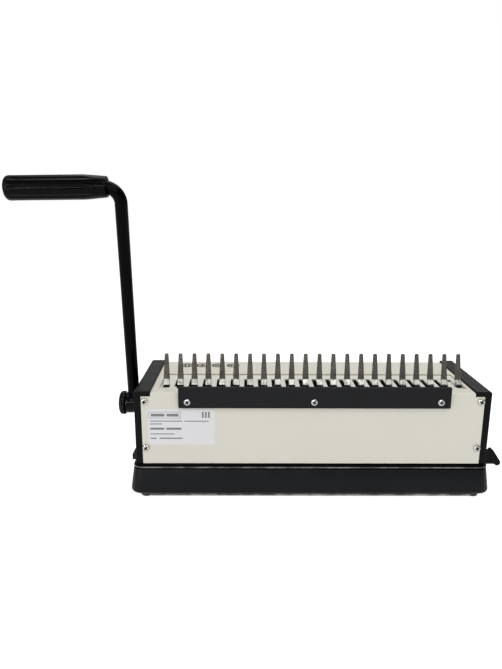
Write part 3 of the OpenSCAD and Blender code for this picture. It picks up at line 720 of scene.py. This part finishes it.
def screw_head(radius, height):
    """A pan head with a tapered cross recess, about its own Z, as a mesh in millimetres.
    The recess has the second material, painted shade that darkens it."""
    dome = [(0, height)]
    for a in range(0, 91, 15):
        out, drop = math.sin(math.radians(a)), 1 - math.cos(math.radians(a))
        dome.append((radius * (0.45 + 0.55 * out), height - 0.62 * height * drop))
    dome += [(radius, 0.12 * height), (radius - 0.15, 0), (0, 0)]
    bm = bmesh.new()
    lathe(bm, dome, Matrix(), 48)
    head = new_object("head", new_mesh("head", bm))

    def arm_of_cross(b, quarter):
        arm, wide, deep = 0.66 * radius, 0.2 * radius, 0.75 * height
        spin = turned("Z", quarter + 45)
        rings = []
        for z, k in ((height - deep, 0.35), (height - 0.3 * deep, 0.8), (height + 0.5, 1.1)):
            corners = [(-arm * k, -wide), (arm * k, -wide), (arm * k, wide), (-arm * k, wide)]
            rings.append([b.verts.new(spin @ Vector((x, y, z))) for x, y in corners])
        bridge(b, rings)
        cap(b, rings)

    carve(head, [lambda b: arm_of_cross(b, 0), lambda b: arm_of_cross(b, 90)])
    made = head.data.copy()
    # faces inside the cross take the second material, painted shade
    for face in made.polygons:
        in_cross = Vector(face.center[:2]).length < 0.62 * radius and face.center.z > 0.2 * height
        steep = face.normal.z < 0.75
        if in_cross and (steep or face.center.z < 0.6 * height):
            face.material_index = 1
    bpy.data.objects.remove(head)
    return made


def screws(node, head, places, shank):
    """The same head at several places, each with its shank behind it."""
    thread = [(1.2, -shank), (1.5, -shank + 0.4), (1.5, 0)]
    bm = bmesh.new()
    for matrix in places:
        before = set(bm.verts)
        bm.from_mesh(head)
        bmesh.ops.transform(bm, matrix=matrix, verts=[v for v in bm.verts if v not in before])
        rings = lathe(bm, thread, matrix, 24)
        bm.faces.new(rings[0])
    piece(node + "_visual", bm, [SCREW_PLATE, CROSS_SHADE_BLACK], "cabinet", [node], smooth=35)


HEAD_H = 2.2


def cover_screws():
    """Screws on the rear and front faces, turned a little differently each, as they were driven."""
    low_s, high_s = inner("cover_screws")
    radius = 3.5
    turns = iter([12, 40, 71, 25, 55, 8, 33, 62])
    places = []
    for y, facing in ((REAR, turned("X", 90)), (FRONT, turned("X", -90))):
        for x in (low_s.x + radius, high_s.x - radius):
            for z in (low_s.z + radius, high_s.z - radius):
                places.append(place(x, y, z, facing @ turned("Z", next(turns))))
    screws("cover_screws", screw_head(radius, HEAD_H), places, 5.5)


def stop_bar_screws():
    low_s, high_s = inner("stop_bar_screws")
    radius = 3.4
    y = low_s.y + HEAD_H
    z = (low_s.z + high_s.z) / 2
    mid = (low_s.x + high_s.x) / 2
    reach = (high_s.x - low_s.x) / 2 - radius
    places = [place(mid + k * reach, y, z, turned("X", 90) @ turned("Z", 18 + 31 * k)) for k in (-1, 0, 1)]
    screws("stop_bar_screws", screw_head(radius, HEAD_H), places, 8.5)


def label():
    """A blank rating label: rounded film with plain bars where a maker would print."""
    low_l, high_l = inner("label_plate")
    print_h = 0.02
    bm = bmesh.new()
    outline = rounded_box(low_l.x, low_l.z, high_l.x, high_l.z, [1.2] * 4, 5)
    prism(bm, outline, place(0, low_l.y + print_h, 0, UPRIGHT), high_l.y - low_l.y - print_h)
    piece("label_visual", bm, LABEL_FILM, "cabinet", ["label_plate"])
    bm = bmesh.new()

    def bar(left, right, top, bottom):
        block(bm, (low_l.x + left, low_l.y, high_l.z - bottom),
              (low_l.x + right, low_l.y + 0.05, high_l.z - top))

    # rows of bars: how far down the row's middle is, its height, and where each bar starts and stops
    rows = [(6.3, 2.9, [(3, 16.5), (18.5, 30.5)]), (12.6, 1.0, [(2, 34), (36, 60)]), (15.6, 1.0, [(2, 14)]),
            (20.6, 2.2, [(2, 16), (18, 33)]), (26.2, 1.0, [(2, 26)]), (30.8, 1.3, [(2, 8), (11, 34)])]
    for down, tall, bars in rows:
        for start, stop in bars:
            bar(start, stop, down - tall / 2, down + tall / 2)
    # a plain frame round the first row
    left, right, top, bottom, line = 0.9, 32.5, 2.9, 9.2, 0.45
    bar(left, right, top, top + line)
    bar(left, right, bottom, bottom + line)
    bar(left, left + line, top, bottom)
    bar(right - line, right, top, bottom + line)
    # three plain upright bars in the other corner
    for k in range(3):
        bar(53.5 + 3 * k, 55.3 + 3 * k, 2.8, 9.2)
    piece("label_bars_visual", bm, INK, "cabinet")


# Two plain strokes on each badge, as boxes from its middle in X and Y
BADGE_STROKES = [
    [(-3.2, -3.2, -0.7, 3.2), (0.7, -3.2, 3.2, 3.2)],
    [(-3.4, -1, 3.4, 1), (-1, -3.4, 1, 3.4)],
    [(-3.6, -2.6, 3.6, -0.5), (-3.6, 0.8, 3.6, 2.9)],
    [(-3.6, -2.4, -0.6, 2.4), (0.6, -2.4, 3.6, 2.4)],
]


def badges():
    """Four round badges, each a dark ring round a plain shape."""
    low_i, high_i = inner("icon_badges")
    radius = (high_i.y - low_i.y) / 2
    rim = radius - 2.3
    y = low_i.y + radius
    step = (high_i.x - low_i.x - 2 * radius) / (len(BADGE_STROKES) - 1)
    ring_profile = [(rim, 0), (rim, 0.18), (radius - 0.1, 0.2), (radius, 0.12), (radius, 0), (rim, 0)]
    rings, faces = bmesh.new(), bmesh.new()
    for i, strokes in enumerate(BADGE_STROKES):
        x = low_i.x + radius + i * step
        bottom = place(x, y, low_i.z)
        lathe(rings, ring_profile, bottom)
        lathe(faces, [(0, 0), (rim, 0), (rim, 0.1), (0, 0.1)], bottom)
        for x0, y0, x1, y1 in strokes:
            block(rings, (x + x0, y + y0, low_i.z + 0.09), (x + x1, y + y1, low_i.z + 0.16))
    piece("badge_marks_visual", rings, BADGE_DARK, "cabinet", ["icon_badges"])
    piece("badge_faces_visual", faces, BADGE_PALE, "cabinet")


# ---------------------------------------------------------------- comb opener
TINES = 22
PITCH = 14.2875
TINE_W = 6.4
TINE_TIP_W = 4.0
TINE_T = 2.0
TINE_LEAN = math.radians(9.8)
# Heights at which a tine starts its joggle, and at which its blade starts
JOGGLE_Z = COVER_TOP + 0.2
BLADE_Z = COVER_TOP + 4


def tine_section(bm, width, thick, centre, along):
    """Eight points round a tine: a flat bar with its corners broken."""
    c = min(0.42, width * 0.2)
    w, t = width / 2, thick / 2
    flat = [(-w + c, -t), (w - c, -t), (w, -t + c), (w, t - c),
            (w - c, t), (-w + c, t), (-w, t - c), (-w, -t + c)]
    out = Vector((0, along.z, -along.y))
    return [bm.verts.new(place() @ (centre + Vector((x, 0, 0)) + out * y)) for x, y in flat]


def tine_stations():
    """Stations up the middle of a tine: centre (y, z), direction, width and thickness."""
    low_t, high_t = inner("tines")
    y0 = low_t.y + TINE_T / 2
    rise = Vector((0, 0, 1))
    slope = Vector((0, 3, BLADE_Z - JOGGLE_Z)).normalized()
    blade = Vector((0, math.sin(TINE_LEAN), math.cos(TINE_LEAN)))
    stations = [
        ((y0, low_t.z), rise, TINE_W, TINE_T),
        ((y0, JOGGLE_Z - 0.6), rise, TINE_W, TINE_T),
        ((y0 + 0.35, JOGGLE_Z + 0.5), (rise + slope).normalized(), TINE_W, TINE_T * 0.9),
        ((y0 + 2.6, BLADE_Z - 0.6), slope, TINE_W, TINE_T * 0.85),
        ((y0 + 3.05, BLADE_Z + 0.25), (slope + blade).normalized(), TINE_W, TINE_T * 0.9),
    ]
    blade_l = (high_t.z - BLADE_Z) / math.cos(TINE_LEAN)
    corner = 1.35
    round_from = blade_l - corner

    def add(s, width, thick):
        stations.append(((y0 + 3 + s * blade.y, BLADE_Z + s * blade.z), blade, width, thick))

    for k in range(1, 9):
        s = round_from * k / 8
        add(s, TINE_W + (TINE_TIP_W - TINE_W) * s / round_from, TINE_T * (0.98 - 0.1 * s / blade_l))
    for a in (20, 40, 55, 70, 82, 90):
        bend = math.radians(a)
        add(round_from + corner * math.sin(bend), TINE_TIP_W - 2 * corner * (1 - math.cos(bend)),
            TINE_T * 0.84 * (1 - 0.45 * (a / 90) ** 3))
    return stations


def tines():
    """The comb opener's fingers: a root darkened with painted shade, a bright joggle, and a dark tapered
    blade.
    """
    first = inner("tines")[0].x + TINE_W / 2
    stations = tine_stations()
    bm = bmesh.new()
    for i in range(TINES):
        # each blade was ground by hand, so they differ slightly
        grind = 1 + 0.018 * math.sin(i * 2.7)
        rings = []
        for (y, z), along, width, thick in stations:
            ground = width * grind if z > BLADE_Z + 2 else width
            rings.append(tine_section(bm, ground, thick, Vector((first + i * PITCH, y, z)), along))
        start = len(bm.faces)
        bridge(bm, rings)
        bm.faces.ensure_lookup_table()
        for face in bm.faces[start:]:
            level = face.calc_center_median().z / MM
            # material 2 below the joggle is painted shade
            face.material_index = 2 if level < JOGGLE_Z - 0.8 else 1 if level < BLADE_Z + 0.8 else 0
        bm.faces.new(rings[0]).material_index = 2
        bm.faces.new(rings[-1])
    piece("tines_visual", bm, [TINE_STEEL, BARE_STEEL, ROOT_SHADE_BLACK], "cabinet", ["tines"],
          smooth=28)


def end_shelves():
    """Cream strips just under the plate's end notches, where nothing moves through."""
    bm = bmesh.new()
    low_t, high_t = inner("tines")
    plate_z = inner("hook_plate")[0].z
    bottom, top = plate_z - 1.1, plate_z - 0.3
    for x in (low_t.x + TINE_W / 2, high_t.x - TINE_W / 2):
        for start, stop in ((2.1, 20), (-4, -0.1)):
            block(bm, (x - 6, low_t.y + start, bottom), (x + 5.6, low_t.y + stop, top))
    piece("end_shelves_visual", bm, PALE, "cabinet")


# ---------------------------------------------------------------- lever
# Degrees that the bar leans away from the paper table and towards the cabinet
LEVER_LEAN = 10.5
LEVER_SPLAY = 1.1
# From the shaft's axis to the grip's
LEVER_L = 229.3
BAR_D = 12.1
BEND_R = 15
BEND_ANGLE = 92
GRIP_L = 94
GRIP_D = 23.1
# How far the grip's mouth reaches back over the bend
GRIP_MOUTH = 4


def lever_matrix():
    """The lever's own axes: Z up the bar from the shaft."""
    return place(-LEVER_X, PIVOT_Y, PIVOT_Z, turned("X", LEVER_LEAN) @ turned("Y", LEVER_SPLAY))


def grip_matrix():
    """The grip's own axes: Z outwards from the end of the bend."""
    centre = Matrix.Translation(Vector((-BEND_R, 0, LEVER_L - BEND_R)))
    return lever_matrix() @ centre @ turned("Y", -BEND_ANGLE) @ Matrix.Translation(Vector((BEND_R, 0, 0)))


def lever_bar():
    """The steel bar: straight from the shaft, one bend, and a stub inside the grip."""
    straight = LEVER_L - BEND_R
    foot = -BAR_D / 2
    path = [(Vector((0, 0, z)), Vector((0, 0, 1))) for z in (foot, foot + straight / 2, straight)]
    for k in range(1, 25):
        a = math.radians(BEND_ANGLE * k / 24)
        path.append((Vector((-BEND_R + BEND_R * math.cos(a), 0, straight + BEND_R * math.sin(a))),
                     Vector((-math.sin(a), 0, math.cos(a)))))
    end, forward = path[-1]
    path.append((end + forward * (GRIP_L - 20), forward))
    bm = bmesh.new()
    sweep(bm, path, BAR_D / 2, lever_matrix())
    piece("lever_bar_visual", bm, BAR_PAINT, "lever", ["lever_bar"], smooth=50)


def lever_grip():
    """The moulded grip: a tapered neck, long fine grooves and a domed end."""
    neck, taper, full, bore = 9.7, 21, GRIP_D / 2, BAR_D / 2 + 0.65
    shoulder = GRIP_L - 5
    dome_r = 4.2
    profile = [(bore, 3.5), (bore, 0.5), (bore + 0.35, 0), (neck - 0.6, 0), (neck - 0.15, 0.2), (neck, 0.8)]
    profile += [(neck + (full - neck) * k / 10, 0.8 + (taper - 0.8) * k / 10) for k in range(1, 11)]
    profile += [(full, taper + (shoulder - taper) * k / 16) for k in range(1, 17)]
    profile += arc(full - dome_r, GRIP_L - dome_r, dome_r, 15, 90, 5)
    profile += [(full * 0.3, GRIP_L), (0, GRIP_L)]
    grooves, first_groove, groove_half, groove_d = 8, 0.2, 2.1, 0.85

    def grooved(a, r, h):
        turn = 2 * math.pi
        centres = [first_groove + g * turn / grooves for g in range(grooves)]
        near = min(abs((a - centre + math.pi) % turn - math.pi) for centre in centres)
        fade = max(0, min(1, (h - 11) / 9)) * max(0, min(1, (shoulder - h) / 3))
        off = near * full / max(groove_half * fade, 0.01)
        return r - groove_d * fade * max(0, 1 - off ** 2) ** 0.5

    bm = bmesh.new()
    lathe(bm, profile, grip_matrix() @ Matrix.Translation(Vector((0, 0, -GRIP_MOUTH))), 256, grooved)
    piece("lever_grip_visual", bm, GRIP_BLACK, "lever", ["lever_grip"], smooth=45)


def lever_hub():
    """The hub: a turned body with a shallow waist, and a spigot that goes through the side panel."""
    low_h = inner("lever_hub")[0]
    length = -HUB_IN - low_h.x
    r = 11.1
    outward = place(-HUB_IN, PIVOT_Y, PIVOT_Z, turned("Y", -90))
    spigot = [(8, -6.5), (9.9, -7), (10, -6.6), (10, 0)]
    body = [(r - 0.7, 0), (r - 0.2, 0.2), (r, 0.7), (r, length * 0.3), (r - 0.25, length * 0.34),
            (r - 0.25, length * 0.62), (r, length * 0.66), (r, length - 0.9), (r - 0.25, length - 0.3),
            (r - 0.9, length)]
    socket = [(4.1, length), (4.05, length - 0.3), (4.05, length - 2.4), (0, length - 2.4)]
    bm = bmesh.new()
    lathe(bm, spigot + body + socket, outward, 96)
    piece("lever_hub_visual", bm, HUB_BLACK, "lever", ["lever_hub"], smooth=25)


def hub_knob():
    """The knob that clamps the lever: scalloped rim, stepped crown."""
    low_k, high_k = inner("hub_knob")
    r = (high_k.z - low_k.z) / 2
    x = inner("lever_hub")[0].x - 0.2
    length = -low_k.x + x
    stub = [(0, -2.1), (3.9, -2.1), (4, -1.9), (4, 0)]
    rim = [(r - 1.2, 0), (r - 0.4, 0.25), (r, 0.9), (r, length - 3.2), (r - 0.5, length - 2.2),
           (r - 1.6, length - 1.3)]
    crown = [(r - 3.2, length - 0.7), (r - 4.4, length - 0.6), (r - 4.9, length - 0.9),
             (r - 5.5, length - 0.9), (r - 6, length - 0.5), (3, length - 0.1), (0, length)]
    scallops, scallop_d = 30, 0.42

    def scalloped(a, radius, _):
        if radius < r - 1.7:
            return radius
        return radius - scallop_d * (0.5 + 0.5 * math.cos(scallops * a)) ** 2

    bm = bmesh.new()
    lathe(bm, stub + rim + crown, place(x, PIVOT_Y, PIVOT_Z, turned("Y", -90)), 360, scalloped)
    piece("hub_knob_visual", bm, HUB_BLACK, "lever_knob", ["hub_knob"], smooth=40)


# ---------------------------------------------------------------- tray pull and springs
def tray_pull():
    """The hatched pull at the tray's end: a tongue with a rounded nose and a raised rib."""
    low_p, high_p = inner("tray_pull")
    outline = [(0, 11.7), (30.8, 11.7)]
    outline += arc(34.9, 13.2, 3.55, 215, 395, 12)
    outline += [(30.2, 26.6), (29.2, 28.0), (27.9, 28.5), (26.9, 28.0), (25.4, 26.4), (24.8, 26.1), (0, 26.1)]
    bm = bmesh.new()
    prism(bm, outline, place(low_p.x, low_p.y, 0, UPRIGHT), high_p.y - low_p.y)
    piece("tray_pull_visual", bm, PULL_BLACK, "tray", ["tray_pull"], bevel=0.5)


COIL_R = 2.9
WIRE_R = 0.6


def coil(bm, middle, low_z, high_z):
    """A closed-up coil spring of round wire, whose ends wind in to a smaller radius."""
    turns, steps = 26, 20
    rings = []
    for k in range(turns * steps + 1):
        a = 2 * math.pi * k / steps
        share = k / (turns * steps)
        tight = COIL_R * min(1, 0.55 + 12 * min(share, 1 - share))
        z = low_z + WIRE_R + (high_z - low_z - 2 * WIRE_R) * share
        centre = Vector((tight * math.cos(a), tight * math.sin(a), z))
        out = Vector((math.cos(a), math.sin(a), 0))
        ring = []
        for i in range(8):
            b = 2 * math.pi * i / 8
            round_wire = WIRE_R * (math.cos(b) * out + Vector((0, 0, math.sin(b))))
            ring.append(bm.verts.new(middle @ (centre + round_wire)))
        rings.append(ring)
    bridge(bm, rings)
    cap(bm, rings)


def springs():
    """The two return springs as real coils, between the anchor and the beam."""
    low_s, high_s = inner("return_springs")
    outside = COIL_R + WIRE_R
    y = (low_s.y + high_s.y) / 2
    for name, x in (("spring_left", low_s.x + outside), ("spring_right", high_s.x - outside)):
        bm = bmesh.new()
        coil(bm, place(x, y), low_s.z, high_s.z)
        mesh = new_mesh(name, bm)
        mesh.materials.append(PLATE)
        mesh.shade_smooth()
        obj = new_object(name, mesh)
        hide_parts("return_springs")
        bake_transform(obj)


# ---------------------------------------------------------------- stage
def look(yaw, pitch, roll):
    """A camera's axes from its yaw, pitch and roll in degrees, where no turn looks along +Y."""
    y, p, r = (math.radians(a) for a in (yaw, pitch, roll))
    forward = Vector((math.sin(y) * math.cos(p), math.cos(y) * math.cos(p), math.sin(p)))
    right = forward.cross(Vector((0, 0, 1))).normalized()
    up = right.cross(forward)
    right, up = math.cos(r) * right + math.sin(r) * up, -math.sin(r) * right + math.cos(r) * up
    return Matrix((right, up, -forward)).transposed()


def camera():
    """The camera that the photograph was taken from, as solved with the machine's sizes."""
    data = bpy.data.cameras.new("camera")
    data.sensor_width = 36
    data.lens = 30.84
    data.clip_start, data.clip_end = 0.01, 20
    obj = new_object("camera", data)
    obj.matrix_world = Matrix.Translation(at(-64.5, -588.8, 297.3)) @ look(0.345, -13.362, 0.228).to_4x4()
    SCENE.camera = obj


def area_light(name, place_at, target, size, power, gloss_only=False):
    """A softbox that faces a target. One for gloss only is seen in reflections and lights nothing else."""
    data = bpy.data.lights.new(name, "AREA")
    data.shape = "RECTANGLE"
    data.size, data.size_y = size
    data.energy = power
    obj = new_object(name, data)
    obj.location = place_at
    obj.rotation_euler = (Vector(target) - Vector(place_at)).to_track_quat("-Z", "Y").to_euler()
    obj.visible_diffuse = not gloss_only


def floor():
    """The white sweep that the machine stands on, which glows enough to meet the background."""
    half = 6
    corners = [(-half, -half, 0), (half, -half, 0), (half, half, 0), (-half, half, 0)]
    mesh = bpy.data.meshes.new("floor")
    mesh.from_pydata(corners, [], [(0, 1, 2, 3)])
    s = Shader("pale floor", (0.4, 0.4, 0.4), 0.8, Emission_Color=(1, 1, 1, 1), Emission_Strength=0.87)
    s.tint(s.spread(s.noise(3, 3), 0.4, 0.7, 0, 0.5), (0.39, 0.39, 0.39))
    s.rough(s.noise(40, 3), 0.75, 0.85)
    mesh.materials.append(s.material)
    new_object("floor", mesh)


def lights():
    area_light("key softbox", (0.5, -1.5, 1.7), (0, 0, 0.06), (1.5, 1.1), 14.5)
    area_light("fill softbox", (-1.6, -1.0, 1.1), (0, 0, 0.1), (1.0, 1.2), 5.5)
    area_light("overhead softbox", (0.1, 0.5, 1.9), (0, 0.02, 0.05), (2.0, 1.6), 27)
    area_light("upright strip", (-1.0, -1.3, 0.5), (-0.15, 0, 0.2), (0.022, 1.0), 8, gloss_only=True)
    area_light("level strip", (-0.3, -1.4, 0.55), (-0.15, 0, 0.1), (1.2, 0.022), 6, gloss_only=True)


def surroundings():
    """A white world, which the camera sees at full strength and the machine at about a third of it."""
    lit, seen = 0.35, 1.0
    world = bpy.data.worlds.new("studio")
    world.use_nodes = True
    SCENE.world = world
    tree = world.node_tree
    background = tree.nodes["Background"]
    background.inputs["Color"].default_value = (1, 1, 1, 1)
    path = tree.nodes.new("ShaderNodeLightPath")
    strength = tree.nodes.new("ShaderNodeMapRange")
    strength.inputs["To Min"].default_value = lit
    strength.inputs["To Max"].default_value = seen
    tree.links.new(path.outputs["Is Camera Ray"], strength.inputs["Value"])
    tree.links.new(strength.outputs["Result"], background.inputs["Strength"])


# ---------------------------------------------------------------- build
camera()
base()
lip()
feet()
cover()
side_panel(1)
side_panel(-1)
stop_bar()
cover_screws()
stop_bar_screws()
label()
badges()
tines()
end_shelves()
lever_bar()
lever_grip()
lever_hub()
hub_knob()
tray_pull()
springs()

for node_name, finish, edge in [
    ("hook_plate", PALE, 0.2), ("hook_forks", FRAME_STEEL, 0.2), ("hook_rails", PLATE, 0.15),
    ("tine_strip", STRIP_STEEL, 0.15), ("left_frame", FRAME_STEEL, 0.25), ("right_frame", FRAME_STEEL, 0.25),
    ("frame_screws", PLATE, 0), ("base_screws", PLATE, 0), ("bottom_plate", STRIP_STEEL, 0.2),
    ("tray_guides", INNER_BLACK, 0.2), ("die_plate", DIE_STEEL, 0.1), ("paper_stop", STRIP_STEEL, 0.15),
    ("guide_plate", DIE_STEEL, 0.15), ("guide_rods", PIN_STEEL, 0.2), ("tie_rods", PLATE, 0.25),
    ("shaft_bushes", BRASS, 0.2), ("punch_beam", DIE_STEEL, 0.3), ("punch_pins", PIN_STEEL, 0.05),
    ("cam_pads", PIN_STEEL, 0.15), ("main_shaft", PIN_STEEL, 0.4), ("lift_cams", DIE_STEEL, 0.3),
    ("drive_arms", DIE_STEEL, 0.3), ("shaft_rings", DIE_STEEL, 0.2), ("waste_tray", INNER_BLACK, 0.4),
    ("edge_guide", INNER_BLACK, 0.7), ("guide_knob", HUB_BLACK, 0.3),
]:
    dress(node_name, finish, edge)

floor()
lights()
surroundings()
SCENE.view_settings.view_transform = "Standard"
